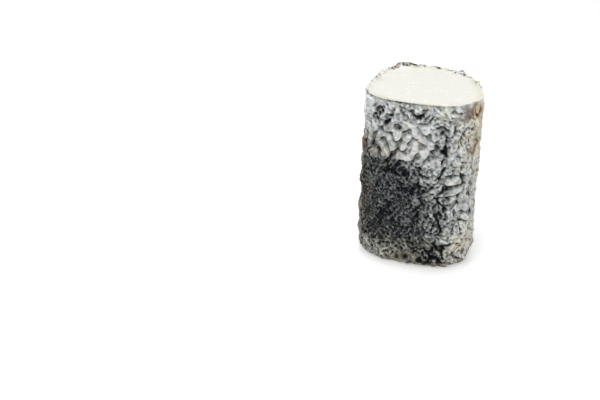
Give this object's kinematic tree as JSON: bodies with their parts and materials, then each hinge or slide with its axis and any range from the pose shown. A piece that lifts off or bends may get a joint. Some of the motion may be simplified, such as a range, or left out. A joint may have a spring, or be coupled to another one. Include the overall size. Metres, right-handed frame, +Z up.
{
  "type": "half cheese log",
  "caption": "Half of a soft goat's cheese log with a wrinkled ash and white mould rind, standing on its rounded end with the flat knife cut uppermost.",
  "frame": {"origin": "middle of the outline on the flat of the foot, the log's own end that it stands on", "axes": "+Z up the log to the cut face, -Y the front with the blackest ash, +X the right side, with the rim chip at the front right"},
  "size_m": [0.05, 0.0554, 0.0755],
  "materials": {
    "cheese": "wrinkled mould rind over charcoal ash on the sides, smooth moist white curd on the cut face"
  },
  "bodies": {
    "root": {"cheese": "cheese"}
  },
  "joints": []
}
